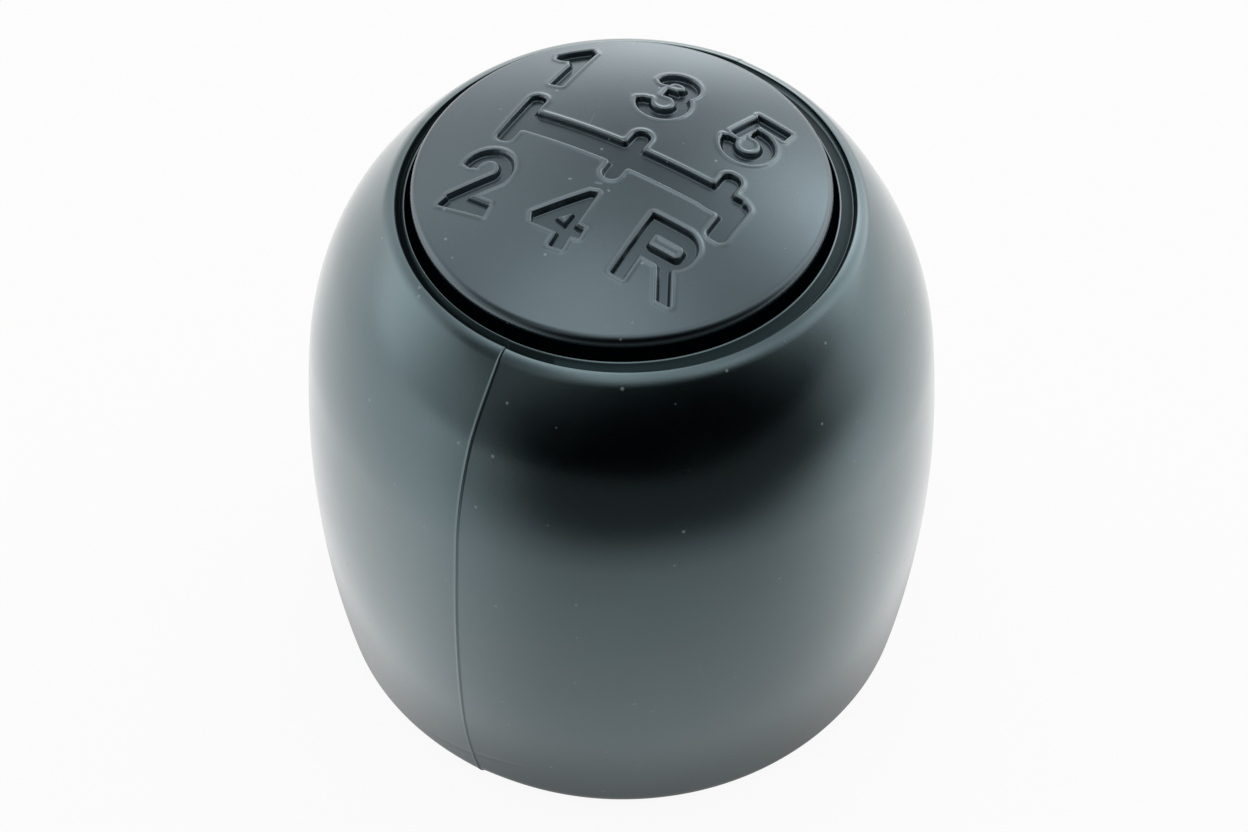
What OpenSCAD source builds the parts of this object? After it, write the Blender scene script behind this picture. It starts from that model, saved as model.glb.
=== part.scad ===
// Barrel-shaped gear shift knob with a domed shift pattern cap.
// Millimetres, +Z up. The origin is the middle of the foot, on the surface that the knob stands on.
// The shift gate's cross bar runs along X, with the gears 1, 3 and 5 on the +Y side.

/* [Grip] */
// Radius of the barrel at its widest
grip_r = 25; // [24.4:0.1:27]
// Height of the rim round the cap above the foot
grip_h = 46.2; // [44:0.1:47.5]
// Height of the widest point above the foot
belly_h = 19; // [17:0.5:24]
// Width of the shoulder in plan, from the widest point in to the rim
shoulder_w = 7.8; // [6:0.1:9]
// Radius of the long side arc in section
side_r = 105; // [95:1:140]
// Radius of the shoulder arc in section
shoulder_r = 26.5; // [25:0.5:30]
// Radius of the lip that rolls over to the rim
lip_r = 3; // [2:0.1:4]
// Lean of the lip at the rim, as the angle of its normal above the horizontal
lip_lean = 71; // [65:1:80]
// Rounding of the foot's outer edge
foot_edge_r = 1.2; // [0.5:0.1:2.5]
// Wall of the soft moulding over the core
skin_t = 3.2; // [2.5:0.1:4]
// Step between the two mould halves at the parting line
mould_step = 0.12; // [0.05:0.01:0.3]

/* [Cap recess] */
// Width of the ring groove between the rim and the cap's side wall
groove_w = 1.2; // [0.8:0.1:2]
// Depth of the ledge in the groove below the rim
ledge_drop = 0.3; // [0.1:0.05:1]
// Width of the sloped inner face of the rim
rim_face_w = 0.3; // [0.1:0.05:0.6]
// Gap round the cap in its seat
cap_gap = 0.1; // [0.05:0.05:0.3]

/* [Cap] */
// Height of the dome's edge above the rim of the grip
cap_proud = 1.7; // [1:0.1:3]
// Rise of the dome from its edge to the crown
dome_rise = 2.5; // [1.5:0.1:4]
// Rounding between dome and side wall
cap_edge_r = 0.9; // [0.3:0.1:1.2]
// Draft of the visible side wall, in degrees
cap_draft = 10; // [0:1:12]
// Wall of the cap
cap_t = 2; // [1.6:0.1:3]
// Depth of the recessed shift gate
gate_depth = 0.5; // [0.3:0.1:1.2]
// Number of snap legs
leg_count = 3; // [2:1:4]
// Width of a snap leg
leg_w = 5; // [3:0.5:8]
// Thickness of a snap leg
leg_t = 1.4; // [1:0.1:2]
// Distance of the legs' outer faces from the cap's side wall
leg_inset = 2.8; // [2.4:0.1:3.4]
// How far a leg's barb stands out over the edge of its slot
barb = 0.7; // [0.4:0.1:1.2]
// Height of a barb
barb_h = 1.6; // [1:0.1:3]

/* [Shift gate] */
// Half length of the cross bar, from the 1-2 slot's middle to the reverse slot's middle
gate_half = 9.2; // [7:0.1:10]
// Width of the cross bar
gate_bar_w = 1.7; // [1:0.1:2.5]
// Width of the slots
gate_slot_w = 1.35; // [0.8:0.05:2]
// Reach of the slots from the bar's middle
gate_reach = 2.7; // [2:0.1:4]
// Distance of the fifth gear's slot from the middle one
gate_fifth = 7.6; // [5:0.1:8.2]
// Distance of the bar's middle from the cap's middle
gate_shift = 0.55; // [-1:0.05:2]

/* [Lever socket] */
// Radius of the lever bore
bore_r = 6; // [5:0.1:7]
// Depth of the lever bore above the foot of the sleeve
bore_depth = 34; // [28:1:36]
// Chamfer at the mouth of the bore
bore_chamfer = 0.8; // [0.3:0.1:1]
// Wall of the damping sleeve
sleeve_t = 1.8; // [1.2:0.1:2.5]
// Radius that the sleeve's foot flange reaches past its wall
flange_w = 2; // [1.6:0.1:2.5]
// Thickness of the foot flange
flange_t = 1.5; // [1:0.1:3]
// Wall of the core's lever tube
tube_t = 2; // [1.6:0.1:3]
// Number of slits in the tube's collet end
slit_count = 4; // [2:1:8]
// Width of a slit
slit_w = 1.2; // [0.8:0.1:2]
// Length of the slits
slit_h = 11; // [9:1:18]

/* [Core] */
// Wall of the core's barrel
core_t = 2; // [1.5:0.1:3]
// Thickness of the plate that carries the cap
plate_t = 2.4; // [1.8:0.1:3.5]
// Depth of the plate's top below the ledge of the groove
plate_drop = 3; // [2:0.1:4]
// Number of ribs between tube and barrel
rib_count = 6; // [3:1:10]
// Thickness of a rib
rib_t = 1.4; // [1:0.1:2.5]

/* [Clamp ring] */
// Width of the spring band
band_h = 5; // [3:0.5:8]
// Thickness of the spring band
band_t = 0.8; // [0.5:0.1:1.2]
// Opening between the band's ends, in degrees
band_open = 24; // [10:2:60]
// Height of the band's lower edge above the tube's end
band_up = 2; // [1:0.5:3]

/* [Base plate] */
// Depth of the base plate's face above the foot
base_inset = 1.5; // [0.5:0.1:3]
// Thickness of the base plate
base_t = 2; // [1.5:0.1:3]
// Width of the base plate's edge that the foot of the grip covers
base_lap = 1.6; // [1:0.1:2.5]
// Width of the clear way round the lever in the base plate
base_hole_gap = 1.4; // [1:0.1:1.6]
// Depth of the seat for the sleeve's flange
flange_seat = 1; // [0.5:0.1:1.4]
// Depth of the dish in the base plate's underside
dish_depth = 0.8; // [0.3:0.1:1]
// Width of the collar round the lever in the base plate
collar_w = 3; // [2.8:0.1:4]
// Width of the plain edge between the dish and the foot
dish_edge_w = 1.4; // [0.8:0.1:3]
// Number of ribs in the dish
base_rib_count = 8; // [4:1:12]
// Thickness of a rib in the dish
base_rib_t = 1.2; // [0.8:0.1:2]
// Running gap between parts that are pushed together
fit_gap = 0.1; // [0.05:0.05:0.2]

/* [Hidden] */

$fn = 96;
// Angle between two points of a profile's arc
arc_step = 3;
// Overlap of a cutting tool past the face that it cuts
past = 1;

black_skin = "#15191b";
black_cap = "#181d20";
grey_core = "#3a3f42";
black_sleeve = "#222629";
spring_steel = "#9aa0a4";
black_base = "#1d2123";

// Heights, from the foot up
base_top = base_inset + base_t;
flange_z = base_top - flange_seat;
tube_z = flange_z + flange_t + fit_gap;
bore_top = flange_z + bore_depth;
ledge_z = grip_h - ledge_drop;
plate_top = ledge_z - plate_drop;
plate_z = plate_top - plate_t;
cap_edge_z = grip_h + cap_proud;
crown_z = cap_edge_z + dome_rise;
barb_z = plate_z - fit_gap - barb_h;

// Radii, from the axis out
sleeve_r = bore_r + sleeve_t;
tube_in_r = sleeve_r + fit_gap;
tube_r = tube_in_r + tube_t;
band_r = tube_r + band_t;
flange_r = sleeve_r + flange_w;
rim_r = grip_r - shoulder_w;
cap_r = rim_r - groove_w;
seat_r = cap_r + cap_gap;
leg_r = cap_r - leg_inset;
dome_edge_r = cap_r - (cap_edge_z - ledge_z) * tan(cap_draft);
dome_r = (dome_edge_r * dome_edge_r + dome_rise * dome_rise) / (2 * dome_rise);
dome_z = crown_z - dome_r;
base_hole_r = bore_r + base_hole_gap;

// Points of an arc round c from angle a to angle b, both ends included
function arc(c, r, a, b) =
    let (n = max(2, ceil(abs(b - a) / arc_step)))
    [for (i = [0 : n]) c + r * [cos(a + (b - a) * i / n), sin(a + (b - a) * i / n)]];

// Angle of the line from point p to point q
function lean(p, q) = atan2(q[1] - p[1], q[0] - p[0]);

// Point that lies ra from a and rb from b, on the right of the way from a to b
function meet(a, ra, b, rb) =
    let (d = norm(b - a))
    let (along = (d * d + ra * ra - rb * rb) / (2 * d))
    let (off = sqrt(ra * ra - along * along))
    let (u = (b - a) / d)
    a + along * u + off * [u[1], -u[0]];

// The barrel's outline in section: side, shoulder and lip arcs, each tangent to the next
side_c = [grip_r - side_r, belly_h];
lip_c = [rim_r, grip_h] - lip_r * [cos(lip_lean), sin(lip_lean)];
shoulder_c = meet(side_c, side_r - shoulder_r, lip_c, shoulder_r - lip_r);
shoulder_a = lean(side_c, shoulder_c);
lip_a = lean(shoulder_c, lip_c);
foot_a = -asin((belly_h - foot_edge_r) / (side_r - foot_edge_r));
foot_c = side_c + (side_r - foot_edge_r) * [cos(foot_a), sin(foot_a)];

// Radius of the side arc, moved inwards by t, at a height below the shoulder
function side_at(z, t = 0) = side_c[0] + sqrt((side_r - t) * (side_r - t) - (z - side_c[1]) * (z - side_c[1]));

base_r = side_at(base_top, skin_t);

// Half section of the barrel, moved outwards by g, up to the rim
module barrel_outline(g = 0) {
    polygon(concat(
        [[0, 0]],
        arc(foot_c, foot_edge_r + g, -90, foot_a),
        arc(side_c, side_r + g, foot_a, shoulder_a),
        arc(shoulder_c, shoulder_r + g, shoulder_a, lip_a),
        arc(lip_c, lip_r + g, lip_a, lip_lean),
        [[0, grip_h + g]]
    ));
}

// Half section of the space inside a wall t, between two heights
module inner_outline(t, z0, z1) {
    shoulder_z = side_c[1] + (side_r - t) * sin(shoulder_a);
    top_a = asin((z1 - shoulder_c[1]) / (shoulder_r - t));
    low_a = asin((z0 - side_c[1]) / (side_r - t));
    polygon(concat(
        [[0, z0]],
        arc(side_c, side_r - t, low_a, shoulder_a),
        z1 > shoulder_z ? arc(shoulder_c, shoulder_r - t, shoulder_a, top_a) : [],
        [[0, z1]]
    ));
}

// Ring between two radii and two heights
module ring(r_in, r_out, z0, z1) {
    translate([0, 0, z0])
        difference() {
            cylinder(r = r_out, h = z1 - z0);
            translate([0, 0, -past])
                cylinder(r = r_in, h = z1 - z0 + 2 * past);
        }
}

// Copies of the children round the axis
module around(count, start = 0) {
    for (i = [0 : count - 1])
        rotate([0, 0, start + i * 360 / count])
            children();
}

// Stepped recess for the cap: rim face, ledge and seat
module cap_recess() {
    rotate_extrude()
        polygon([
            [0, plate_top],
            [seat_r, plate_top],
            [seat_r, ledge_z],
            [rim_r - rim_face_w, ledge_z],
            [rim_r, grip_h],
            [rim_r, grip_h + past],
            [0, grip_h + past]
        ]);
}

// Soft barrel in two mould halves, the -X half a little proud
module grip() {
    color(black_skin)
        difference() {
            union() {
                rotate_extrude()
                    barrel_outline();
                rotate([0, 0, 90])
                    rotate_extrude(angle = 180)
                        intersection() {
                            barrel_outline(mould_step);
                            square([grip_r + past, grip_h + mould_step]);
                        }
            }
            rotate_extrude()
                inner_outline(skin_t, base_top, plate_top);
            translate([0, 0, base_inset])
                cylinder(r = base_r, h = base_t + past / 2);
            translate([0, 0, -past])
                cylinder(r = base_r - base_lap, h = base_inset + 2 * past);
            cap_recess();
        }
}

// Slot in the cap plate for one snap leg, and the space below it for the barb
module leg_slot() {
    translate([leg_r - leg_t - fit_gap, -leg_w / 2 - fit_gap, barb_z - fit_gap]) {
        cube([leg_t + 2 * fit_gap, leg_w + 2 * fit_gap, plate_top - barb_z + past]);
        cube([leg_t + barb + 2 * fit_gap, leg_w + 2 * fit_gap, barb_h + 2 * fit_gap]);
    }
}

// Hard carrier: barrel wall, cap plate, lever tube with a slit end, and ribs
module core() {
    color(grey_core)
        difference() {
            union() {
                difference() {
                    rotate_extrude()
                        inner_outline(skin_t, base_top, plate_top);
                    rotate_extrude()
                        inner_outline(skin_t + core_t, base_top - past, plate_z);
                }
                translate([0, 0, tube_z])
                    cylinder(r = tube_r, h = plate_z - tube_z + past / 2);
                intersection() {
                    around(rib_count, 180 / rib_count)
                        translate([0, -rib_t / 2, tube_z + slit_h])
                            cube([grip_r, rib_t, plate_z - tube_z - slit_h + past / 2]);
                    rotate_extrude()
                        inner_outline(skin_t + core_t / 2, base_top, plate_top);
                }
            }
            translate([0, 0, tube_z - past])
                cylinder(r = tube_in_r, h = bore_top + sleeve_t + fit_gap - tube_z + past);
            around(slit_count)
                translate([0, -slit_w / 2, tube_z - past])
                    cube([band_r, slit_w, slit_h + past]);
            around(leg_count)
                leg_slot();
        }
}

// Plan of one slot of the gate, with a round end at each side of the bar
module gate_slot(x, y0, y1, w) {
    translate([x - w / 2, y0 + w / 2])
        square([w, y1 - y0 - w]);
    translate([x, y0 + w / 2])
        circle(d = w);
    translate([x, y1 - w / 2])
        circle(d = w);
}

// Plan of the five-speed gate with the offset reverse slot
module gate_plan() {
    translate([0, gate_shift]) {
        translate([-gate_half, -gate_bar_w / 2])
            square([2 * gate_half, gate_bar_w]);
        gate_slot(-gate_half, -gate_reach, gate_reach, gate_slot_w);
        gate_slot(0, -gate_reach, gate_reach, gate_slot_w);
        gate_slot(gate_fifth, -gate_bar_w / 2, gate_reach, gate_slot_w);
        gate_slot(gate_half, -gate_reach - gate_slot_w / 2, gate_bar_w / 2, gate_slot_w);
    }
}

// Outline of the cap in section: dome, rounded edge, drafted wall and skirt
module cap_outline() {
    edge_in = dome_r - cap_edge_r;
    edge_x = dome_edge_r - cap_edge_r;
    edge_c = [edge_x, dome_z + sqrt(edge_in * edge_in - edge_x * edge_x)];
    edge_a = lean([0, dome_z], edge_c);
    dome_in = dome_r - cap_t;
    skirt_in = seat_r - cap_gap - cap_t;
    roof_z = dome_z + sqrt(dome_in * dome_in - skirt_in * skirt_in);
    roof_a = lean([0, dome_z], [skirt_in, roof_z]);
    polygon(concat(
        arc([0, dome_z], dome_r, 90, edge_a),
        arc(edge_c, cap_edge_r, edge_a, -cap_draft),
        [[cap_r, ledge_z], [cap_r, plate_top], [skirt_in, plate_top]],
        arc([0, dome_z], dome_in, roof_a, 90)
    ));
}

// One snap leg under the dome, with its barb below the plate
module snap_leg() {
    roof_in = dome_r - cap_t / 2;
    leg_top = dome_z + sqrt(roof_in * roof_in - leg_r * leg_r - leg_w * leg_w / 4);
    rotate([90, 0, 0])
        translate([0, 0, -leg_w / 2])
            linear_extrude(leg_w)
                polygon([
                    [leg_r - leg_t, barb_z],
                    [leg_r, barb_z],
                    [leg_r + barb, barb_z + barb_h],
                    [leg_r, barb_z + barb_h],
                    [leg_r, leg_top],
                    [leg_r - leg_t, leg_top]
                ]);
}

// Domed cap with its recessed gate, which follows the dome
module pattern_cap() {
    color(black_cap)
        difference() {
            union() {
                rotate_extrude()
                    cap_outline();
                around(leg_count)
                    snap_leg();
            }
            difference() {
                translate([0, 0, cap_edge_z - past])
                    linear_extrude(dome_rise + 2 * past)
                        gate_plan();
                translate([0, 0, dome_z])
                    sphere(r = dome_r - gate_depth);
            }
        }
}

// Damping sleeve with a closed head, a foot flange and the blind lever bore
module lever_sleeve() {
    color(black_sleeve)
        difference() {
            union() {
                translate([0, 0, flange_z])
                    cylinder(r = flange_r, h = flange_t);
                translate([0, 0, flange_z])
                    cylinder(r = sleeve_r, h = bore_depth + sleeve_t);
            }
            translate([0, 0, flange_z - past])
                cylinder(r = bore_r, h = bore_depth + past);
            translate([0, 0, flange_z])
                rotate_extrude()
                    polygon([
                        [0, -past],
                        [bore_r + bore_chamfer + past, -past],
                        [bore_r, bore_chamfer],
                        [0, bore_chamfer]
                    ]);
        }
}

// Open spring band round the slit end of the tube
module clamp_ring() {
    color(spring_steel)
        translate([0, 0, tube_z + band_up])
            rotate([0, 0, band_open / 2])
                rotate_extrude(angle = 360 - band_open)
                    translate([tube_r, 0])
                        square([band_t, band_h]);
}

// Ribbed dish in the underside of the base plate
module base_dish() {
    difference() {
        ring(base_hole_r + collar_w, base_r - base_lap - dish_edge_w, base_inset - past, base_inset + dish_depth);
        around(base_rib_count)
            translate([0, -base_rib_t / 2, base_inset - 2 * past])
                cube([base_r, base_rib_t, dish_depth + 3 * past]);
    }
}

// Closing ring in the foot, with a seat that carries the sleeve's flange
module base_plate() {
    color(black_base)
        difference() {
            ring(base_hole_r, base_r, base_inset, base_top);
            base_dish();
            translate([0, 0, flange_z])
                cylinder(r = flange_r + fit_gap, h = flange_seat + past);
        }
}

grip();
core();
pattern_cap();
lever_sleeve();
clamp_ring();
base_plate();
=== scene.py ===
import math

import bmesh
import bpy
import numpy as np
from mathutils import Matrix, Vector


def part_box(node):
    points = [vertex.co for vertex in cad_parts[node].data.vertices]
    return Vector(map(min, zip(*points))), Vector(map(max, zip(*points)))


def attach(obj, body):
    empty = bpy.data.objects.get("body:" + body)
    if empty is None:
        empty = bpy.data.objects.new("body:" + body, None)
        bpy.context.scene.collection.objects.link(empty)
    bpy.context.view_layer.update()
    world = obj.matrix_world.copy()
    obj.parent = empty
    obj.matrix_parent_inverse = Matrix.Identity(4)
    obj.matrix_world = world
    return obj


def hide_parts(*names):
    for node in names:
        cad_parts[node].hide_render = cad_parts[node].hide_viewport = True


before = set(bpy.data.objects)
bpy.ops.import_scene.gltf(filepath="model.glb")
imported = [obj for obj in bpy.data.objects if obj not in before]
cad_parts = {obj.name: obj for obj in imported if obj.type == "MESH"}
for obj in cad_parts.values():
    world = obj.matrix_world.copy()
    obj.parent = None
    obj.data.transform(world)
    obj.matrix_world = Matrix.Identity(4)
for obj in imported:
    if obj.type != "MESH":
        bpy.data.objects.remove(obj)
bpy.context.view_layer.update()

# Sizes are in millimetres, +Z up, in the frame's axes, and meshes are scaled to metres at the end
MM = 0.001
MICRON = 0.000001
GRIP_LOW, GRIP_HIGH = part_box("grip")
CAP_LOW, CAP_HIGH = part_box("pattern_cap")

# Barrel of the grip: outer arcs from the foot up, each tangent to the next
GRIP_R = GRIP_HIGH[0] / MM
RIM_Z = 46.2
RIM_R = 17.2
BELLY_Z = 19.0
SIDE_ARC = 105.0
SHOULDER_ARC = 26.5
LIP_ARC = 2.2
LIP_LEAN = 71.0
FOOT_ARC = 2.2
FOOT_OPENING = 19.0
FOOT_INNER_ARC = 0.3
BASE_SEAT_R = 20.6
BASE_Z = 1.5
BASE_TOP_Z = 3.5
SKIN = 3.2

# Recess round the cap; its rim sits a little off the axis, toward +X and +Y
RIM_SHIFT = (0.27, 0.16)
SHIFT_FROM = 40.0
RIM_EDGE = 0.07
RIM_SET = 0.03
RIM_FACE = 0.3
LEDGE_DROP = 0.38
LEDGE_ROUND = (0.08, 0.02)
LEDGE_END = (0.18, 0.06)
SEAT_R = 16.1
SEAT_EDGE = 0.08
SEAT_WALL = 0.7
RECESS_Z = 42.9

# Parting lines at the front and back: sideways shift at heights from the foot up, less at the back
SEAM_Z = [0, 1.5, 3.5, 6, 9, 13, 20, 28, 36, 42, RIM_Z]
SEAM_SHIFT = [0.45, 0.3, 0.05, -0.1, -0.15, -0.1, 0.0, 0.05, 0.0, 0.0, 0.0]
SEAM_REACH = 4.0
BACK_SHIFT = 0.6
BACK_RELIEF = 0.35

# Ridge along a parting line: heights at signed distances, and its share at heights from the foot up
RIDGE_S = [-0.24, -0.1, -0.03, 0.03, 0.12]
RIDGE_H = [0.0, 0.03, 0.036, 0.02, 0.0]
RIDGE_Z = [0, 26, 34, 40, RIM_Z]
RIDGE_SHARE = [0.9, 0.7, 0.7, 1.0, 1.0]

# Step across a parting line: the -X half stands proud, most at the line, and the +X half dips beside it
PROUD = -GRIP_LOW[0] / MM - GRIP_R
STEP_FAR = 0.3
STEP_NEAR = 0.4
STEP_REACH = 3.5
STEP_AT = 0.08
STEP_RUN = 0.12
DIP_DEPTH = 0.1
DIP_START = 2.5
DIP_REACH = 10.0

# Columns of the barrel: distances from a parting line, degrees between its two sides, and the number
# of columns that share out each half of the barrel between the fine ones
SEAM_STEPS = [0.0, 0.03, 0.06, 0.1, 0.14, 0.18, 0.22, 0.28, 0.36, 0.46, 0.6, 0.8, 1.05, 1.4, 1.9, 2.5, 3.2]
SEAM_GAP = 0.02
HALF_COLUMNS = 150

# Faint crease across the front parting line near the foot
CREASE_Z = 3.9
CREASE_TILT = 0.2
CREASE_DEPTH = 0.035
CREASE_RUN = 0.22
CREASE_REACH = 4.5
CREASE_ROWS_TO = 1.6 * CREASE_Z

# Slight waves of the skin: depth, waves round the barrel, turn per millimetre of height, and phase
WAVES = [(0.008, 5, 0.31, 0.0), (0.006, 9, -0.47, 1.3)]

# Cap: dome, rounded edge, drafted wall and skirt
CAP_R = CAP_HIGH[0] / MM
LIP_H = 0.062
CROWN_Z = CAP_HIGH[2] / MM - LIP_H
CAP_FOOT_Z = RECESS_Z
DRAFT_FOOT_Z = RIM_Z - 0.3
DOME_EDGE_R = 15.65
DOME_RISE = 2.5
DOME_R = (DOME_EDGE_R ** 2 + DOME_RISE ** 2) / (2 * DOME_RISE)
DOME_Z = CROWN_Z - DOME_R
CAP_EDGE = 0.75
CAP_DRAFT = 10.0
CAP_WALL = 2.0
CAP_GRID = 72

# Snap legs under the dome
LEG_COUNT = 3
LEG_OUT = 13.2
LEG_THICK = 1.4
LEG_HALF = 2.5
BARB = 0.7
BARB_H = 1.6

# Recesses in the dome: turn about the axis in degrees, depths, edge rounds and the raised burr round them
CAP_TURN = -1.0
GATE_DEPTH = 0.45
NUMERAL_DEPTH = 0.46
TOP_ROUND = 0.12
WALL_RUN = 0.12
LIP_AT = 0.27
LIP_RUN = 0.16


def cosd(degrees):
    return math.cos(math.radians(degrees))


def sind(degrees):
    return math.sin(math.radians(degrees))


def arc(centre, radius, start, end, step=3.0):
    """Points of an arc, in degrees, both ends included."""
    count = max(2, math.ceil(abs(end - start) / step))
    turn = np.radians(np.linspace(start, end, count + 1))
    return np.stack([centre[0] + radius * np.cos(turn), centre[1] + radius * np.sin(turn)], axis=1)


def lean(a, b):
    """Angle of the line from a to b, in degrees."""
    return math.degrees(math.atan2(b[1] - a[1], b[0] - a[0]))


def meet(a, radius_a, b, radius_b):
    """Point at radius_a from a and radius_b from b, on the right of the way from a to b."""
    a, b = np.array(a), np.array(b)
    far = float(np.linalg.norm(b - a))
    along = (far * far + radius_a * radius_a - radius_b * radius_b) / (2 * far)
    off = math.sqrt(radius_a * radius_a - along * along)
    u = (b - a) / far
    return a + along * u + off * np.array([u[1], -u[0]])


def ease(t):
    """Smooth step from 0 to 1."""
    t = np.clip(t, 0.0, 1.0)
    return t * t * (3.0 - 2.0 * t)


def new_object(name, mesh, body="root"):
    obj = bpy.data.objects.new(name, mesh)
    bpy.context.scene.collection.objects.link(obj)
    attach(obj, body)
    return obj


def grid_mesh(name, rows):
    """Closed surface from rows of points, each row and the set of rows closed on itself."""
    across, along = rows.shape[:2]
    index = np.arange(across * along).reshape(across, along)
    right = np.roll(index, -1, axis=0)
    quads = np.stack([index, right, np.roll(right, -1, axis=1), np.roll(index, -1, axis=1)], axis=-1)
    mesh = bpy.data.meshes.new(name)
    mesh.from_pydata((rows.reshape(-1, 3) * MM).tolist(), [], quads.reshape(-1, 4).tolist())
    mesh.update()
    return mesh


def smooth(mesh, sharp):
    """Shade smooth, apart from edges sharper than an angle in degrees."""
    mesh.shade_smooth()
    mesh.set_sharp_from_angle(angle=math.radians(sharp))


# Section of the grip

SIDE_C = (GRIP_R - SIDE_ARC, BELLY_Z)
LIP_C = (RIM_R - LIP_ARC * cosd(LIP_LEAN), RIM_Z - LIP_ARC * sind(LIP_LEAN))
SHOULDER_C = meet(SIDE_C, SIDE_ARC - SHOULDER_ARC, LIP_C, SHOULDER_ARC - LIP_ARC)
SHOULDER_A = lean(SIDE_C, SHOULDER_C)
LIP_A = lean(SHOULDER_C, LIP_C)
FOOT_A = -math.degrees(math.asin((BELLY_Z - FOOT_ARC) / (SIDE_ARC - FOOT_ARC)))
FOOT_C = (SIDE_C[0] + (SIDE_ARC - FOOT_ARC) * cosd(FOOT_A), FOOT_ARC)

# Share in the outer relief from which a point of the section also moves with the rim
RIM_MOVES = 0.6


def side_angle(z, inwards):
    """Angle on the side arc, moved inwards, at a height."""
    return math.degrees(math.asin((z - BELLY_Z) / (SIDE_ARC - inwards)))


def outer_section():
    """Outside of the wall from the foot's opening to the lip, with fine rows at the crease."""
    crease_a = side_angle(CREASE_ROWS_TO, 0)
    return [
        (1.0, arc((FOOT_OPENING + FOOT_INNER_ARC, FOOT_INNER_ARC), FOOT_INNER_ARC, -180, -90, 20)),
        (1.0, arc(FOOT_C, FOOT_ARC, -90, FOOT_A, 8)),
        (1.0, arc(SIDE_C, SIDE_ARC, FOOT_A, crease_a, 0.06)[1:]),
        (1.0, arc(SIDE_C, SIDE_ARC, crease_a, SHOULDER_A, 0.22)[1:]),
        (1.0, arc(SHOULDER_C, SHOULDER_ARC, SHOULDER_A, LIP_A, 1.0)[1:]),
        (1.0, arc(LIP_C, LIP_ARC, LIP_A, LIP_LEAN, 2.0)[1:-1]),
    ]


def recess_section():
    """Rim, groove, ledge and the wall behind the cap."""
    groove_r, groove_z = RIM_R - RIM_FACE, RIM_Z - LEDGE_DROP
    return [
        (1.0, arc((RIM_R - RIM_SET, RIM_Z - RIM_EDGE), RIM_EDGE, LIP_LEAN, 150, 16)),
        (0.7, [(groove_r, groove_z)]),
        (0.6, [(groove_r - LEDGE_ROUND[0], groove_z - LEDGE_ROUND[1])]),
        (0.4, [(SEAT_R + LEDGE_END[0], RIM_Z - LEDGE_END[1])]),
        (0.3, arc((SEAT_R + SEAT_EDGE, RIM_Z - SEAT_EDGE), SEAT_EDGE, 60, 180, 30)),
        (0.0, [(SEAT_R, RIM_Z - SEAT_WALL)]),
        (0.0, [(SEAT_R, RECESS_Z)]),
    ]


def hidden_section():
    """Inside of the wall down to the seat of the base plate."""
    top_a = math.degrees(math.asin((RECESS_Z - SHOULDER_C[1]) / (SHOULDER_ARC - SKIN)))
    return [
        (0.0, arc(SHOULDER_C, SHOULDER_ARC - SKIN, top_a, SHOULDER_A, 6)),
        (0.0, arc(SIDE_C, SIDE_ARC - SKIN, SHOULDER_A, side_angle(BASE_TOP_Z, SKIN), 2)[1:]),
        (0.0, [(BASE_SEAT_R, BASE_Z)]),
        (0.0, [(FOOT_OPENING, BASE_Z)]),
    ]


def grip_section():
    """Points (radius, height) round the wall, and how far each takes part in the outer relief."""
    parts = outer_section() + recess_section() + hidden_section()
    share = np.concatenate([np.full(len(points), part_share) for part_share, points in parts])
    return np.concatenate([np.array(points, dtype=float) for _, points in parts]), share


def section_normals(points):
    """Outward normals of a closed section that runs with its solid on the left."""
    along = np.roll(points, -1, axis=0) - np.roll(points, 1, axis=0)
    normal = np.stack([along[:, 1], -along[:, 0]], axis=1)
    return normal / np.linalg.norm(normal, axis=1, keepdims=True)


# Relief and mesh of the grip

def seam_columns():
    """Azimuths of the columns, fine beside the two parting lines."""
    near = np.degrees(np.array(SEAM_STEPS) / GRIP_R)
    fine = np.concatenate([-near[::-1], near + SEAM_GAP])
    coarse = np.linspace(near[-1], 180 - near[-1], HALF_COLUMNS)[1:-1]
    return np.concatenate([fine - 90, coarse - 90, fine + 90, coarse + 90])


def seam_relief(s, height, strength):
    """Outward offset of the skin at a signed distance from the parting line, the -X half at s < 0."""
    left = PROUD * (STEP_FAR + STEP_NEAR * np.exp(np.minimum(s, 0) / STEP_REACH))
    beside = np.maximum(s, 0)
    right = -DIP_DEPTH * (1 - np.exp(-beside / DIP_START)) * np.exp(-beside / DIP_REACH)
    step = ease((STEP_AT - s) / STEP_RUN)
    ridge = np.interp(s, RIDGE_S, RIDGE_H) * np.interp(height, RIDGE_Z, RIDGE_SHARE)
    return strength * (step * left + ridge) + (1 - step) * right


def wave_relief(turn, height):
    """Slight waves, which only go inwards."""
    return sum(
        depth * (np.sin(count * turn + twist * height + phase) - 1) for depth, count, twist, phase in WAVES
    )


def crease_relief(distance, height):
    """Shallow groove across the front parting line."""
    line = (height - CREASE_Z - CREASE_TILT * distance) / CREASE_RUN
    return -CREASE_DEPTH * np.exp(-line ** 2 - (distance / CREASE_REACH) ** 4)


def half_turn(angle):
    """Angle brought to between minus and plus half a turn."""
    return (angle + math.pi) % (2 * math.pi) - math.pi


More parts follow.
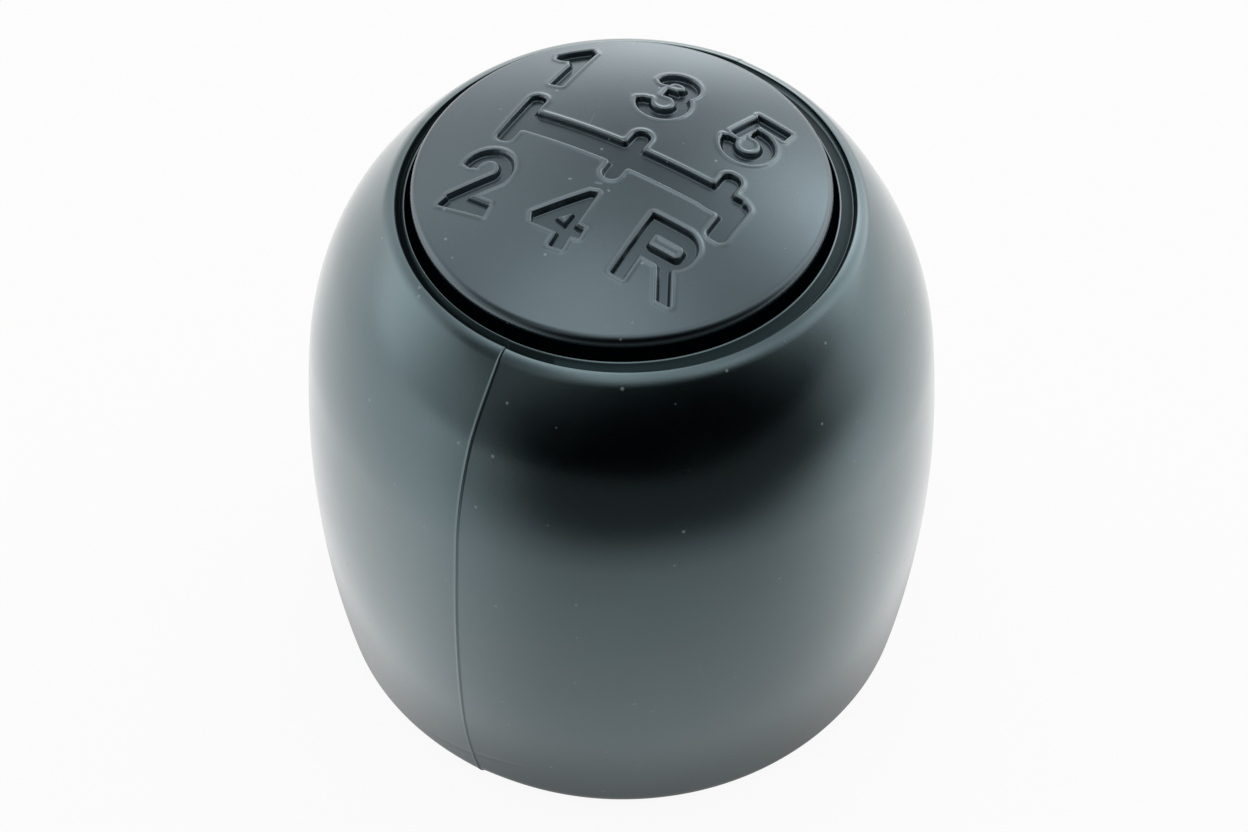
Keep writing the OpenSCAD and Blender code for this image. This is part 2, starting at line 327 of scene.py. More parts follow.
def make_grip():
    """Barrel turned from its section, with the parting lines, the waves, the crease and the shifted rim."""
    section, share = grip_section()
    normals = section_normals(section)
    radius, height = section[:, 0][None, :], section[:, 1][None, :]
    share = share[None, :]
    turn = np.radians(seam_columns())[:, None]
    to_front = half_turn(turn + math.pi / 2)
    to_back = half_turn(turn - math.pi / 2)
    front = np.abs(to_front) < math.pi / 2
    distance = np.where(front, to_front, -to_back) * GRIP_R
    shift = np.interp(height, SEAM_Z, SEAM_SHIFT) * np.exp(-(distance / SEAM_REACH) ** 2)
    turn = turn + np.where(front, shift, BACK_SHIFT * shift) / GRIP_R
    relief = seam_relief(distance, height, np.where(front, 1.0, BACK_RELIEF)) * share
    relief = relief + wave_relief(turn, height) * (share >= 1.0)
    relief = relief + crease_relief(distance, height) * front
    r = radius + normals[:, 0][None, :] * relief
    z = np.maximum(height + normals[:, 1][None, :] * relief, 0.0)
    off = ease((height - SHIFT_FROM) / (RIM_Z - SHIFT_FROM)) * (share >= RIM_MOVES)
    x = r * np.cos(turn) + RIM_SHIFT[0] * off
    y = r * np.sin(turn) + RIM_SHIFT[1] * off
    mesh = grid_mesh("soft_grip", np.stack([x, y, z], axis=-1))
    smooth(mesh, 50)
    grip = new_object("soft_grip", mesh)
    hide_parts("grip")
    return grip


# Plan of the cap's recesses, as signed distances in millimetres, negative inside

def box_distance(p, low, high, corner=0.0):
    low, high = np.array(low), np.array(high)
    q = np.abs(p - (low + high) / 2) - (high - low) / 2 + corner
    return np.linalg.norm(np.maximum(q, 0), axis=1) + np.minimum(q.max(axis=1), 0) - corner


def polygon_distance(p, points):
    points = np.array(points, dtype=float)
    best = np.full(len(p), np.inf)
    inside = np.zeros(len(p), dtype=bool)
    for a, b in zip(points, np.roll(points, -1, axis=0)):
        edge = b - a
        t = np.clip(((p - a) @ edge) / (edge @ edge), 0, 1)
        best = np.minimum(best, np.linalg.norm(p - a - t[:, None] * edge, axis=1))
        crosses = (p[:, 1] < a[1]) != (p[:, 1] < b[1])
        if a[1] != b[1]:
            inside ^= crosses & (p[:, 0] < a[0] + (p[:, 1] - a[1]) * edge[0] / edge[1])
    return np.where(inside, -best, best)


def stroke_distance(p, points, width):
    """Line through points with square ends and round bends."""
    points = np.array(points, dtype=float)
    best = np.full(len(p), np.inf)
    for i, (a, b) in enumerate(zip(points[:-1], points[1:])):
        edge = b - a
        size = np.linalg.norm(edge)
        u = edge / size
        local = np.stack([(p - a) @ u, (p - a) @ np.array([-u[1], u[0]])], axis=1)
        best = np.minimum(best, box_distance(local, (0, -width / 2), (size, width / 2)))
        if i > 0:
            best = np.minimum(best, np.linalg.norm(p - a, axis=1) - width / 2)
    return best


def blend(a, b, reach):
    """Union of two shapes with a fillet in the corners between them."""
    t = np.clip(0.5 + 0.5 * (b - a) / reach, 0, 1)
    return b + (a - b) * t - reach * t * (1 - t)


def ellipse(centre, size, start, end, count=14):
    turn = np.radians(np.linspace(start, end, count + 1))
    return np.stack([centre[0] + size[0] * np.cos(turn), centre[1] + size[1] * np.sin(turn)], axis=1)


def gate_distance(p):
    """Five slots on a cross bar, and the reverse slot set off below its end."""
    bar_low, bar_high = -0.45, 1.57
    shape = box_distance(p, (-9.3, bar_low), (9.3, bar_high), 0.1)
    slots = [
        ((-9.72, -2.05), (-8.5, 3.4), 0.5),
        ((-0.6, -2.1), (0.66, 3.35), 0.6),
        ((6.95, bar_low), (8.35, 3.3), 0.6),
        ((8.65, -2.75), (10.05, bar_high - 0.2), 0.45),
    ]
    for low, high, corner in slots:
        shape = blend(shape, box_distance(p, low, high, corner), 0.35)
    return shape


def one(p):
    return polygon_distance(p, [
        (-10.9, 8.8), (-10.15, 9.6), (-9.0, 10.6), (-8.55, 10.25), (-8.45, 5.25), (-9.3, 5.15), (-9.3, 8.0),
        (-9.7, 8.55), (-10.3, 8.35), (-10.75, 8.4)
    ])


def two(p):
    hook = list(ellipse((-8.45, -5.1), (1.42, 1.42), 185, -25))
    return np.minimum(
        stroke_distance(p, hook + [(-9.5, -8.65)], 0.98),
        polygon_distance(p, [(-10.05, -9.25), (-9.75, -8.3), (-8.6, -7.95), (-6.45, -8.1), (-6.35, -9.1)]),
    )


def three(p):
    upper = ellipse((-0.8, 9.5), (1.2, 1.0), 178, -60)
    lower = ellipse((-0.75, 7.2), (1.5, 1.42), 65, -165)
    return np.minimum(
        np.minimum(stroke_distance(p, upper, 0.95), stroke_distance(p, lower, 0.98)),
        stroke_distance(p, [(-1.2, 8.45), (0.0, 8.55)], 0.8),
    )


def four(p):
    outer = polygon_distance(p, [
        (-0.3, -3.95), (0.2, -3.8), (0.3, -7.05), (1.0, -7.1), (1.05, -7.85), (0.4, -8.0), (0.45, -9.25),
        (-0.45, -9.35), (-0.5, -8.1), (-2.7, -8.1), (-3.05, -7.45)
    ])
    island = polygon_distance(p, [(-0.35, -6.1), (-1.3, -7.05), (-0.4, -7.3)])
    return np.maximum(outer, -island)


def five(p):
    bar = polygon_distance(p, [(5.72, 10.4), (8.5, 10.25), (8.45, 9.25), (6.15, 9.5)])
    down = stroke_distance(p, [(6.1, 9.95), (5.42, 7.35)], 0.72)
    bowl = stroke_distance(p, ellipse((6.75, 6.85), (1.5, 1.5), 100, -175, 18), 0.95)
    return np.minimum(np.minimum(bar, down), bowl)


def reverse(p):
    """The R, whose bowl is rounded on the right only, as its rounding box starts far to the left."""
    low, high, far_left = (4.65, -6.85), (9.05, -3.3), -20
    outer = box_distance(p, low, high, 0.05)
    outer = np.maximum(outer, box_distance(p, (far_left, low[1]), high, 1.6))
    hole = box_distance(p, (5.55, -5.95), (8.25, -4.65), 0.45)
    stem = box_distance(p, (low[0], -9.2), (5.6, -3.35))
    leg = polygon_distance(p, [(7.05, -6.6), (7.95, -6.5), (9.5, -9.35), (8.6, -9.4)])
    bowl = np.maximum(outer, -hole)
    return np.minimum(blend(bowl, leg, 0.2), stem)


NUMERALS = [one, two, three, four, five, reverse]


def turned(p, degrees):
    """Plan points in axes that are turned about the middle."""
    c, s = cosd(degrees), sind(degrees)
    return np.stack([p[:, 0] * c + p[:, 1] * s, p[:, 1] * c - p[:, 0] * s], axis=1)


def recess_fields(p):
    """Distance to the gate and to the nearest numeral, in the cap's own turned axes."""
    q = turned(p, CAP_TURN)
    gate = gate_distance(q)
    glyph = np.full(len(q), np.inf)
    for shape in NUMERALS:
        glyph = np.minimum(glyph, shape(q))
    return gate, glyph


def wall(distance):
    """Share of the full depth, from 0 outside to 1 on the floor, with a rounded edge and a fillet."""
    return ease((TOP_ROUND - distance) / (TOP_ROUND + WALL_RUN))


def burr(distance):
    """Low raised lip round a recess, as moulded plastic has."""
    return LIP_H * np.exp(-((distance - LIP_AT) / LIP_RUN) ** 2)


# Cap

def dome_height(r):
    return DOME_Z + np.sqrt(DOME_R ** 2 - r ** 2)


def cap_section():
    """Section of the cap from the dome's edge round the wall and skirt to the middle underneath."""
    inner = DOME_R - CAP_EDGE
    edge_x = DOME_EDGE_R - CAP_EDGE
    edge_c = (edge_x, DOME_Z + math.sqrt(inner ** 2 - edge_x ** 2))
    skirt = CAP_R - CAP_WALL
    roof = DOME_R - CAP_WALL
    roof_a = math.degrees(math.acos(skirt / roof))
    return np.concatenate([
        arc(edge_c, CAP_EDGE, lean((0, DOME_Z), edge_c), -CAP_DRAFT, 5),
        [(CAP_R, DRAFT_FOOT_Z), (CAP_R, CAP_FOOT_Z), (skirt, CAP_FOOT_Z)],
        arc((0, DOME_Z), roof, roof_a, 88, 4),
    ])


def disc_points(count):
    """Square grid mapped to the unit disc."""
    u, v = np.meshgrid(np.linspace(-1, 1, count + 1), np.linspace(-1, 1, count + 1), indexing="ij")
    return np.stack([u * np.sqrt(1 - v * v / 2), v * np.sqrt(1 - u * u / 2)], axis=-1)


def refine(bm, low, high, rounds):
    """Halve the faces that lie in a band of distances from the recesses' outlines."""
    margin = 0.75
    for _ in range(rounds):
        bm.faces.ensure_lookup_table()
        centres = np.array([f.calc_center_median()[:2] for f in bm.faces])
        size = np.array([math.sqrt(f.calc_area()) for f in bm.faces])
        distance = np.minimum(*recess_fields(centres))
        chosen = (distance > low - margin * size) & (distance < high + margin * size)
        edges = {e for i in np.nonzero(chosen)[0] for e in bm.faces[i].edges}
        bmesh.ops.subdivide_edges(bm, edges=list(edges), cuts=1, use_grid_fill=True)


def flat_plate(radius):
    """Disc of faces that are fine along the outlines of the recesses."""
    bm = bmesh.new()
    verts = [[bm.verts.new((x, y, 0)) for x, y in row] for row in disc_points(CAP_GRID) * radius]
    for i in range(CAP_GRID):
        for j in range(CAP_GRID):
            bm.faces.new((verts[i][j], verts[i + 1][j], verts[i + 1][j + 1], verts[i][j + 1]))
    refine(bm, -WALL_RUN - 0.05, LIP_AT + 1.6 * LIP_RUN, 3)
    return bm


def press_pattern(bm):
    """Lift the plate to the dome, with the recesses and the burrs round them."""
    plan = np.array([v.co[:2] for v in bm.verts])
    gate, glyph = recess_fields(plan)
    depth = np.maximum(GATE_DEPTH * wall(gate), NUMERAL_DEPTH * wall(glyph))
    height = dome_height(np.linalg.norm(plan, axis=1)) - depth + burr(np.minimum(gate, glyph))
    for v, z in zip(bm.verts, height):
        v.co.z = z


def close_below(bm, section):
    """Lead the plate's border along the rest of the section, and close it in the middle underneath."""
    loop = [e for e in bm.edges if e.is_boundary]
    for r, z in section[1:]:
        made = bmesh.ops.extrude_edge_only(bm, edges=loop)["geom"]
        loop = [e for e in made if isinstance(e, bmesh.types.BMEdge) and e.is_boundary]
        for v in (g for g in made if isinstance(g, bmesh.types.BMVert)):
            flat = Vector(v.co[:2]).normalized() * r
            v.co = (flat.x, flat.y, z)
    bmesh.ops.contextual_create(bm, geom=loop)
    bmesh.ops.recalc_face_normals(bm, faces=bm.faces)


def snap_leg(bm, angle):
    """One leg under the dome with its barb, as a closed solid."""
    low = CAP_LOW[2] / MM
    top = float(dome_height(math.hypot(LEG_OUT, LEG_HALF))) - CAP_WALL / 2
    plan = [
        (LEG_OUT - LEG_THICK, low), (LEG_OUT, low), (LEG_OUT + BARB, low + BARB_H), (LEG_OUT, low + BARB_H),
        (LEG_OUT, top), (LEG_OUT - LEG_THICK, top)
    ]
    c, s = cosd(angle), sind(angle)
    rings = []
    for y in (-LEG_HALF, LEG_HALF):
        rings.append([bm.verts.new((x * c - y * s, x * s + y * c, z)) for x, z in plan])
    bm.faces.new(rings[0])
    bm.faces.new(rings[1][::-1])
    for i in range(len(plan)):
        j = (i + 1) % len(plan)
        bm.faces.new((rings[0][j], rings[0][i], rings[1][i], rings[1][j]))


def make_cap():
    """Domed disc with the gate and numerals, its wall and skirt, and the snap legs."""
    section = cap_section()
    bm = flat_plate(section[0][0])
    press_pattern(bm)
    close_below(bm, section)
    for i in range(LEG_COUNT):
        snap_leg(bm, i * 360 / LEG_COUNT)
    bmesh.ops.scale(bm, vec=(MM, MM, MM), verts=bm.verts)
    mesh = bpy.data.meshes.new("cap_with_pattern")
    bm.to_mesh(mesh)
    bm.free()
    smooth(mesh, 75)
    cap = new_object("cap_with_pattern", mesh)
    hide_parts("pattern_cap")
    return cap


# Materials

class Nodes:
    """Short way to add linked nodes to a material or the world."""

    def __init__(self, name, owner=None):
        self.material = owner or bpy.data.materials.new(name)
        self.material.use_nodes = True
        self.tree = self.material.node_tree
        coords = "Generated" if owner else "Object"
        self.coords = self.tree.nodes.new("ShaderNodeTexCoord").outputs[coords]
        if not owner:
            self.shader = self.tree.nodes["Principled BSDF"]
            self.shader.distribution = "GGX"

    def feed(self, socket, value):
        """Link another node's output to an input, or set the input to a plain value."""
        if isinstance(value, bpy.types.NodeSocket):
            self.tree.links.new(value, socket)
        else:
            socket.default_value = value

    def set(self, **values):
        """Feed the shader's own inputs."""
        for name, value in values.items():
            self.feed(self.shader.inputs[name.replace("_", " ")], value)

    def add(self, kind, inputs=None, **settings):
        node = self.tree.nodes.new(kind)
        for key, value in settings.items():
            setattr(node, key, value)
        for key, value in (inputs or {}).items():
            self.feed(node.inputs[key], value)
        return node

    def noise(self, scale, detail=3.0, rough=0.5):
        inputs = {"Vector": self.coords, "Scale": scale, "Detail": detail, "Roughness": rough}
        return self.add("ShaderNodeTexNoise", inputs).outputs["Fac"]

    def ramp(self, value, low, high, start, end):
        """Linear map of a value, clamped."""
        node = self.add("ShaderNodeMapRange", {
            "Value": value, "From Min": low, "From Max": high, "To Min": start, "To Max": end
        })
        return node.outputs["Result"]

    def soft_step(self, value, low, high):
        inputs = {"Value": value, "From Min": low, "From Max": high}
        return self.add("ShaderNodeMapRange", inputs, interpolation_type="SMOOTHSTEP").outputs["Result"]

    def maths(self, operation, a, b=0.0):
        return self.add("ShaderNodeMath", {0: a, 1: b}, operation=operation).outputs[0]

    def rest(self, share):
        """What a share leaves of 1."""
        return self.maths("SUBTRACT", 1.0, share)

    def vector(self, operation, a, b=(0, 0, 0)):
        return self.add("ShaderNodeVectorMath", {0: a, 1: b}, operation=operation).outputs["Vector"]

    def length(self, vector):
        return self.add("ShaderNodeVectorMath", {0: vector}, operation="LENGTH").outputs["Value"]

    def toward(self, vector, way):
        """Dot product of a vector and a direction."""
        node = self.add("ShaderNodeVectorMath", {0: vector, 1: way}, operation="DOT_PRODUCT")
        return node.outputs["Value"]

    def cone(self, vector, azimuth, elevation, outer, inner):
        """Mask about a direction, from 0 at the outer angle to 1 at the inner one."""
        cosine = self.toward(vector, direction(azimuth, elevation))
        return self.soft_step(cosine, cosd(outer), cosd(inner))

    def mix(self, share, a, b):
        node = self.add("ShaderNodeMix", {"Factor": share}, data_type="RGBA")
        self.feed(node.inputs[6], a)
        self.feed(node.inputs[7], b)
        return node.outputs[2]

    def tint(self, value, low, high, a, b):
        """Colour that goes from a to b as a value goes from low to high."""
        return self.mix(self.ramp(value, low, high, 0.0, 1.0), a, b)

    def bump(self, height, distance, normal=None):
        inputs = {"Height": height, "Distance": distance, "Strength": 1.0}
        if normal is not None:
            inputs["Normal"] = normal
        return self.add("ShaderNodeBump", inputs).outputs["Normal"]


def direction(azimuth, elevation):
    """Unit vector at an azimuth from the front, -Y, and an elevation, in degrees."""
    return (sind(azimuth) * cosd(elevation), -cosd(azimuth) * cosd(elevation), sind(elevation))


# Darker and lighter black of each surface, and the bluish colour of its highlights
SKIN_BLACKS = ((0.0, 0.0003, 0.0006, 1), (0.0001, 0.0005, 0.0009, 1))
SKIN_SHEEN = (0.52, 0.87, 0.97, 1)
CAP_BLACKS = ((0.0001, 0.0006, 0.001, 1), (0.0003, 0.0009, 0.0014, 1))
CAP_SHEEN = (0.62, 0.87, 0.99, 1)
# The groove's blacks belong to the painted shade in the groove round the cap
GROOVE_SHADE_BLACKS = ((0.0002, 0.0012, 0.0018, 1), (0.0006, 0.002, 0.0028, 1))
# Pale grey painted on the raised burrs round the recesses: a painted highlight along their edges
BURR_HIGHLIGHT_GREY = (0.07, 0.08, 0.085, 1)
DUST = (0.36, 0.38, 0.38, 1)

# Marks on the cap: a hairline scratch, two crumbs and a smudge, with start, end, half width and strength
MARKS = [
    ((-4.28, 3.35), (-3.95, 1.76), 0.07, 0.15),
    ((-2.37, -3.51), (-2.3, -3.45), 0.13, 0.5),
    ((0.70, -3.16), (0.78, -3.2), 0.12, 0.5),
    ((-0.45, -2.95), (-0.1, -2.85), 0.16, 0.3),
]

# Moulded pieces inside: material, its two colours, roughness, scale and height of the grain, specular level
INSIDES = {
    "core": (
        "core_glass_filled", (0.03, 0.032, 0.034, 1), (0.05, 0.053, 0.056, 1),
        0.5, 1800.0, 30 * MICRON, 0.5
    ),
    "lever_sleeve": (
        "sleeve_rubber", (0.009, 0.01, 0.011, 1), (0.018, 0.019, 0.02, 1),
        0.62, 2600.0, 20 * MICRON, 0.4
    ),
    "base_plate": (
        "base_black_plastic", (0.008, 0.009, 0.01, 1), (0.014, 0.015, 0.016, 1),
        0.45, 3000.0, 20 * MICRON, 0.5
    ),
}


def speckle(nodes, scale, reach, share):
    """Mask of small round specks, in a share of the cells of a pattern."""
    cells = nodes.add("ShaderNodeTexVoronoi", {"Vector": nodes.coords, "Scale": scale})
    spot = nodes.ramp(cells.outputs["Distance"], reach * 0.6, reach, 1.0, 0.0)
    pick = nodes.add("ShaderNodeSeparateColor", {"Color": cells.outputs["Color"]}).outputs[0]
    chosen = nodes.ramp(pick, 1.0 - share, 1.001 - share, 0.0, 1.0)
    return nodes.maths("MULTIPLY", spot, chosen)


def mark(nodes, start, end, width):
    """Mask of a thin line between two points of the cap's plan, in millimetres."""
    a, b = Vector((*start, 0)) * MM, Vector((*end, 0)) * MM
    off = nodes.vector("SUBTRACT", nodes.vector("MULTIPLY", nodes.coords, (1, 1, 0)), a)
    along = nodes.ramp(nodes.toward(off, (b - a) / (b - a).length_squared), 0.0, 1.0, 0.0, 1.0)
    step = nodes.add("ShaderNodeVectorMath", {0: b - a, "Scale": along}, operation="SCALE")
    far = nodes.length(nodes.vector("SUBTRACT", off, step.outputs["Vector"]))
    return nodes.ramp(far, 0.3 * width * MM, width * MM, 1.0, 0.0)


def skin_material():
    """Soft-touch black moulding: a satin, very fine grain, faint handling marks and a little dust."""
    m = Nodes("soft_touch_black")
    patches = m.noise(90.0, 4.0, 0.55)
    smudge = m.noise(260.0, 3.0, 0.6)
    grain = m.noise(5200.0, 2.0, 0.5)
    dust = speckle(m, 520.0, 0.085, 0.55)
    dark = m.tint(patches, 0.35, 0.7, *SKIN_BLACKS)
    m.set(Base_Color=m.mix(m.maths("MULTIPLY", dust, 0.5), dark, DUST))
    rough = m.maths("ADD", m.ramp(patches, 0.3, 0.7, 0.21, 0.26), m.ramp(smudge, 0.35, 0.75, -0.02, 0.03))
    m.set(Roughness=m.maths("ADD", rough, m.maths("MULTIPLY", dust, 0.3)))
    m.set(Specular_IOR_Level=1.0, IOR=1.75, Specular_Tint=SKIN_SHEEN)
    m.set(Coat_Weight=1.0, Coat_Roughness=0.17, Coat_IOR=1.6)
    fine = m.bump(grain, 6 * MICRON)
    m.set(Normal=m.bump(m.noise(420.0, 3.0, 0.5), 10 * MICRON, fine))
    return m.material


def cap_material(name, level, coat):
    """Harder black plastic with a satin face, a painted highlight of pale grey on the raised burrs round
    the recesses, marks and a few specks; with a lower level and coat it paints the shade of the recess
    floors.
    """
    m = Nodes(name)
    patches = m.noise(120.0, 4.0, 0.55)
    grain = m.noise(7000.0, 2.0, 0.5)
    dust = speckle(m, 640.0, 0.09, 0.35)
    # The burrs' share masks the painted highlight of pale grey along the recess edges
    edge = m.add("ShaderNodeAttribute", attribute_name="burr").outputs["Fac"]
    colour = m.tint(patches, 0.35, 0.7, *CAP_BLACKS)
    colour = m.mix(m.maths("MULTIPLY", edge, m.ramp(patches, 0.3, 0.7, 0.5, 1.0)), colour, BURR_HIGHLIGHT_GREY)
    for start, end, width, share in MARKS:
        colour = m.mix(m.maths("MULTIPLY", mark(m, start, end, width), share), colour, DUST)
    m.set(Base_Color=m.mix(m.maths("MULTIPLY", dust, 0.5), colour, DUST))
    m.set(Roughness=m.ramp(patches, 0.3, 0.7, 0.24, 0.31), Specular_IOR_Level=level, IOR=1.7)
    m.set(Coat_Weight=coat, Coat_Roughness=0.2, Coat_IOR=1.5)
    m.set(Specular_Tint=CAP_SHEEN)
    fine = m.bump(grain, 5 * MICRON)
    m.set(Normal=m.bump(m.noise(300.0, 3.0, 0.5), 10 * MICRON, fine))
    return m.material


def groove_shade_material(name, level):
    """Dull black of the faces in the groove round the cap, which stay in the shade: painted shade, with
    weak or no reflection and no coat.
    """
    m = Nodes(name)
    patches = m.noise(300.0, 3.0, 0.55)
    m.set(Base_Color=m.tint(patches, 0.35, 0.7, *GROOVE_SHADE_BLACKS))
    rough = m.ramp(patches, 0.3, 0.7, 0.38, 0.46)
    m.set(Roughness=rough, Specular_IOR_Level=level, Specular_Tint=SKIN_SHEEN)
    m.set(Normal=m.bump(m.noise(2400.0, 2.0, 0.5), 6 * MICRON))
    return m.material


def moulded_material(name, dark, light, rough, grain_scale, grain_height, level):
    """Plain moulded plastic or rubber with uneven colour, gloss and grain."""
    m = Nodes(name)
    patches = m.noise(160.0, 4.0, 0.6)
    m.set(Base_Color=m.tint(patches, 0.3, 0.7, dark, light))
    m.set(Roughness=m.ramp(m.noise(500.0), 0.3, 0.7, rough - 0.06, rough + 0.06), Specular_IOR_Level=level)
    m.set(Normal=m.bump(m.noise(grain_scale, 3.0, 0.6), grain_height))
    return m.material


def spring_material():
    """Rolled spring steel, drawn lines round the band."""
    m = Nodes("spring_steel_band")
    stretched = m.add("ShaderNodeMapping", {"Vector": m.coords, "Scale": (300.0, 300.0, 9000.0)}).outputs[0]
    lines = m.add("ShaderNodeTexNoise", {"Vector": stretched, "Scale": 1.0, "Detail": 2.0}).outputs["Fac"]
    m.set(Base_Color=m.tint(lines, 0.3, 0.7, (0.32, 0.33, 0.34, 1), (0.45, 0.46, 0.47, 1)))
    m.set(Roughness=m.ramp(lines, 0.3, 0.7, 0.28, 0.42), Metallic=1.0, Normal=m.bump(lines, 10 * MICRON))
    return m.material


# Which faces get which material

def face_centres(mesh):
    """Centres of a mesh's faces in millimetres."""
    centres = np.empty(3 * len(mesh.polygons), dtype=np.float32)
    mesh.polygons.foreach_get("center", centres)
    return centres.reshape(-1, 3) / MM


def use_slot(mesh, chosen, slot):
    """Give the chosen faces another of the mesh's materials."""
    index = np.empty(len(mesh.polygons), dtype=np.int32)
    mesh.polygons.foreach_get("material_index", index)
    index[chosen] = slot
    mesh.polygons.foreach_set("material_index", index)


def shade_groove(mesh, low_r, high_r, low_z):
    """Give the faces in a ring about the axis the mesh's second material, which paints shade on them."""
    centres = face_centres(mesh)
    r = np.linalg.norm(centres[:, :2], axis=1)
    use_slot(mesh, (r > low_r) & (r < high_r) & (centres[:, 2] > low_z), 1)


def shade_recesses(mesh):
    """Give the floors of the gate and numerals the third material, a painted shade, and note on the points
    the share of the burrs, which carries their painted highlight.
    """
    plan = np.array([v.co[:2] for v in mesh.vertices]) / MM
    centres = face_centres(mesh)
    sunk = np.minimum(*recess_fields(centres[:, :2])) < 0.02
    # Painted shade: the faces sunk into the recesses get the darker, less glossy copy of the face's
    # material
    use_slot(mesh, sunk & (centres[:, 2] > RIM_Z), 2)
    share = burr(np.minimum(*recess_fields(plan))) / LIP_H
    # The burrs' share, stored on the points, masks the painted highlight in the cap's materials
    mesh.attributes.new("burr", "FLOAT", "POINT").data.foreach_set("value", share)


def dress_grip(grip):
    """Soft skin, with painted shade in a dull material on the ledge and the wall in the recess."""
    mesh = grip.data
    mesh.materials.append(skin_material())
    # Painted shade on the ledge and on the wall behind the cap: a dull black with weak reflection
    mesh.materials.append(groove_shade_material("ledge_painted_shade", 0.4))
    shade_groove(mesh, SEAT_R + 0.15, RIM_R - RIM_FACE + 0.02, RECESS_Z - 1.0)
    shade_groove(mesh, 0.0, SEAT_R + 0.02, RECESS_Z - 1.0)


def dress_cap(cap):
    """Satin face, with painted shade on the wall in a dull black, and on the recess floors in a darker,
    less glossy copy of the face.
    """
    mesh = cap.data
    mesh.materials.append(cap_material("satin_cap_black", 1.0, 0.6))
    # Painted shade on the cap's wall: a dull black with no reflection
    mesh.materials.append(groove_shade_material("cap_wall_painted_shade", 0.0))
    # Painted shade on the recess floors: a less glossy, darker copy of the face's material
    mesh.materials.append(cap_material("recess_floor_painted_shade", 0.82, 0.3))
    shade_groove(mesh, CAP_R - 0.3, CAP_R + 1.0, CAP_FOOT_Z)
    shade_recesses(mesh)


def dress(name, material):
    """Give a CAD node its material."""
    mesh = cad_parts[name].data
    mesh.materials.clear()
    mesh.materials.append(material)


# Stage, light and camera

# Share of white in what camera, glossy and transmission rays see of the floor
WHITE_SHARE = 0.93

# Parts of the surroundings that stay unlit: azimuth, elevation, angles of the outer and inner edge
UNLIT_FRONT = (48, 15, 78, 48)
UNLIT_CORNER = (-22, 46, 34, 10)
DARK_FLOOR_NEAR = (40, 0, 72, 15)
DARK_FLOOR_FAR = (48, 0, 86, 38)

# The floor in reflections, with distances from the axis in metres: where the dark part changes from the
# near one to the far one, where and how much it darkens, and where the knob's own shade ends and its level
NEAR_TO_FAR = (0.07, 0.2)
GETS_DARK = (0.035, 0.13)
DARK_SHARE = (0.42, 0.965)
LEAVES_SHADE = (0.0215, 0.029)
SHADE_LEVEL = 0.3

# Level of the room, and patches of light in it: azimuth, elevation, sharpness and strength
ROOM = 0.36
SIDE_PATCHES = [
    (-74, 10, 9, 1.1),
    (146, 9, 10, 1.0),
    (-100, 0, 12, 0.15),
    (165, 0, 12, 0.7),
]
TOP_PATCHES = [
    (201, 5, 28, 1.8),
    (171, 38, 34, 2.2),
    (-143, 12, 24, 0.8),
    (-118, 38, 20, 0.65),
    (255, 80, 14, 0.95),
    (22, 66, 22, 0.8),
    (88, 58, 28, 0.85),
    (118, 32, 18, 0.75),
    (-12, 42, 25, 0.3),
]

# Weak lamp above: azimuth and elevation, sides and distance in metres, and its glow in reflections
LAMP_WAY = (250, 78)
LAMP_SIZE = (0.5, 0.4)
LAMP_DISTANCE = 0.9
LAMP_GLOW = 0.3
LAMP_TARGET = Vector((0, 0, 0.03))

# Camera: angles in degrees, place in millimetres and lens, fitted to the outline in the photo
CAMERA_AZIMUTH = 30.0
CAMERA_PITCH = 49.5
CAMERA_BACK = 160.85
CAMERA_UP = 209.7
CAMERA_ASIDE = 0.16
CAMERA_LENS = 88.95
CAMERA_SENSOR = 36.0
CAMERA_CLIP = 0.01


def floor_in_reflections(m):
    """Strength of the floor's white in reflections, which darkens toward the unlit front."""
    away = m.length(m.coords)
    unit = m.vector("NORMALIZE", m.coords)
    near = m.cone(unit, *DARK_FLOOR_NEAR)
    far = m.cone(unit, *DARK_FLOOR_FAR)
    change = m.maths("MULTIPLY", m.soft_step(away, *NEAR_TO_FAR), m.maths("SUBTRACT", far, near))
    ahead = m.maths("ADD", near, change)
    dark = m.ramp(m.soft_step(away, *GETS_DARK), 0.0, 1.0, *DARK_SHARE)
    contact = m.ramp(away, *LEAVES_SHADE, SHADE_LEVEL, 1.0)
    return m.maths("MULTIPLY", contact, m.rest(m.maths("MULTIPLY", ahead, dark)))


def stage_material():
    """White floor that keeps the contact shadow, and is darker toward the unlit front in reflections."""
    m = Nodes("pale_floor")
    m.set(Base_Color=(0.85, 0.85, 0.85, 1), Roughness=0.9, Specular_IOR_Level=0.0)
    path = m.add("ShaderNodeLightPath").outputs
    lit = m.maths("MAXIMUM", path["Is Camera Ray"], floor_in_reflections(m))
    white = m.add("ShaderNodeEmission", {"Strength": lit})
    seen = m.maths("MAXIMUM", path["Is Camera Ray"], path["Is Glossy Ray"])
    seen = m.maths("MAXIMUM", seen, path["Is Transmission Ray"])
    mix = m.add("ShaderNodeMixShader", {0: m.maths("MULTIPLY", seen, WHITE_SHARE)})
    m.tree.links.new(m.shader.outputs[0], mix.inputs[1])
    m.tree.links.new(white.outputs[0], mix.inputs[2])
    m.tree.links.new(mix.outputs[0], m.tree.nodes["Material Output"].inputs["Surface"])
    return m.material


def make_floor():
    mesh = bpy.data.meshes.new("floor")
    reach = 6.0
    corners = [(-reach, -reach, 0), (reach, -reach, 0), (reach, reach, 0), (-reach, reach, 0)]
    mesh.from_pydata(corners, [], [(0, 1, 2, 3)])
    floor = bpy.data.objects.new("floor", mesh)
    bpy.context.scene.collection.objects.link(floor)
    mesh.materials.append(stage_material())


def glow(nodes, azimuth, elevation, sharp, strength):
    """Soft round patch of light in the room."""
    cosine = nodes.toward(nodes.coords, direction(azimuth, elevation))
    fall = nodes.maths("EXPONENT", nodes.maths("MULTIPLY", nodes.maths("SUBTRACT", cosine, 1.0), sharp))
    return nodes.maths("MULTIPLY", fall, strength)


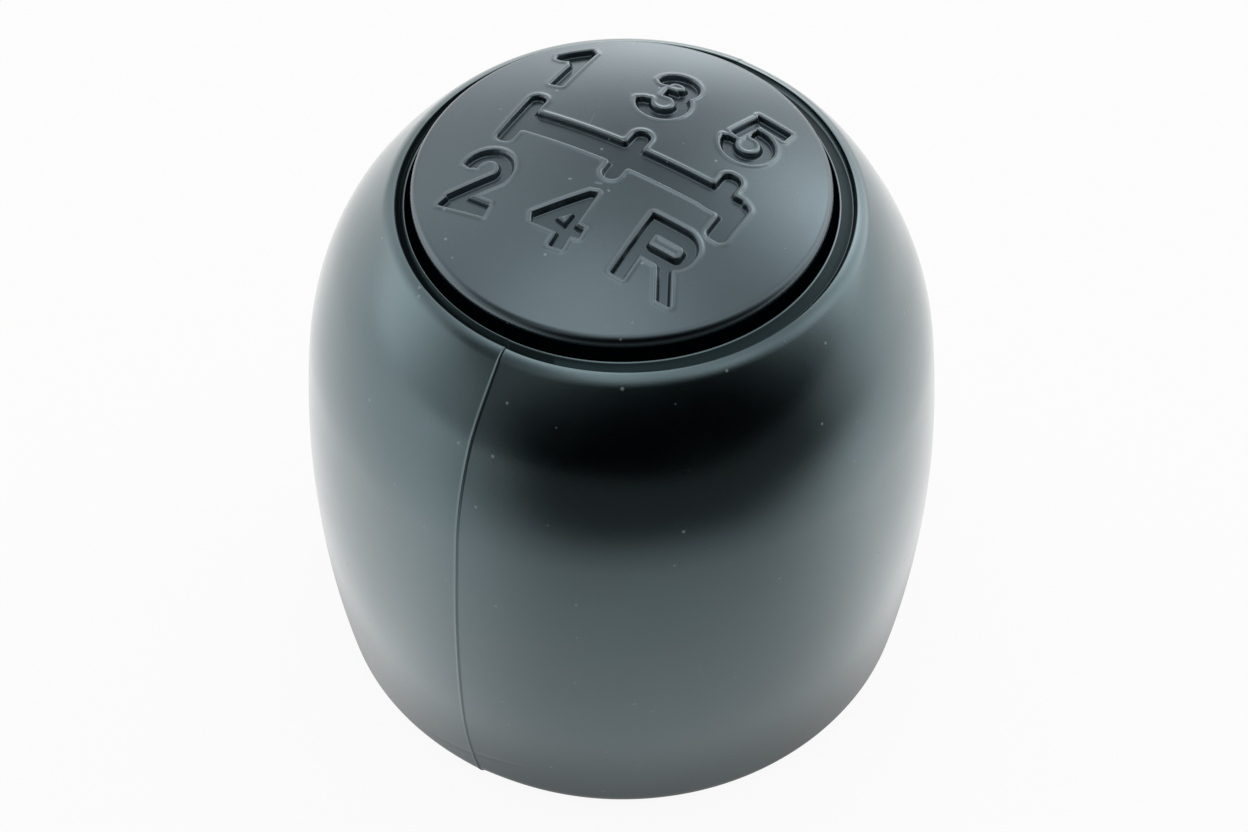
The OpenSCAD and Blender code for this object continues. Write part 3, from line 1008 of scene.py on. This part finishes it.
def make_world():
    """White to the camera, and a soft studio for the object, with light all round but for the front."""
    world = bpy.data.worlds.new("studio")
    n = Nodes("studio", world)
    level = ROOM
    for patch in SIDE_PATCHES:
        level = n.maths("ADD", level, glow(n, *patch))
    unlit = n.maths("MAXIMUM", n.cone(n.coords, *UNLIT_FRONT), n.cone(n.coords, *UNLIT_CORNER))
    level = n.maths("MULTIPLY", level, n.rest(unlit))
    for patch in TOP_PATCHES:
        level = n.maths("ADD", level, glow(n, *patch))
    seen = n.add("ShaderNodeLightPath").outputs["Is Camera Ray"]
    background = n.tree.nodes["Background"]
    n.feed(background.inputs["Color"], (1, 1, 1, 1))
    n.feed(background.inputs["Strength"], n.maths("ADD", n.maths("MULTIPLY", level, n.rest(seen)), seen))
    bpy.context.scene.world = world


def make_lamp():
    """Soft area lamp above the knob, whose energy follows from its size and its glow."""
    lamp = bpy.data.lights.new("top_softbox", "AREA")
    lamp.shape = "RECTANGLE"
    lamp.size, lamp.size_y = LAMP_SIZE
    lamp.energy = LAMP_GLOW * math.pi * LAMP_SIZE[0] * LAMP_SIZE[1]
    obj = bpy.data.objects.new("top_softbox", lamp)
    bpy.context.scene.collection.objects.link(obj)
    obj.location = Vector(direction(*LAMP_WAY)) * LAMP_DISTANCE + LAMP_TARGET
    obj.rotation_euler = (LAMP_TARGET - obj.location).to_track_quat("-Z", "Y").to_euler()


def make_camera():
    data = bpy.data.cameras.new("camera")
    data.lens = CAMERA_LENS
    data.sensor_width = CAMERA_SENSOR
    data.clip_start = CAMERA_CLIP
    camera = bpy.data.objects.new("camera", data)
    bpy.context.scene.collection.objects.link(camera)
    a = math.radians(CAMERA_AZIMUTH)
    ahead = Vector((-math.sin(a), math.cos(a), 0))
    right = Vector((math.cos(a), math.sin(a), 0))
    camera.location = (right * CAMERA_ASIDE - ahead * CAMERA_BACK + Vector((0, 0, CAMERA_UP))) * MM
    camera.rotation_euler = (math.radians(90 - CAMERA_PITCH), 0, a)
    bpy.context.scene.camera = camera


make_camera()
make_floor()
make_world()
make_lamp()

dress_grip(make_grip())
dress_cap(make_cap())
for node, look in INSIDES.items():
    dress(node, moulded_material(*look))
dress("clamp_ring", spring_material())

bpy.context.scene.view_settings.view_transform = "Standard"
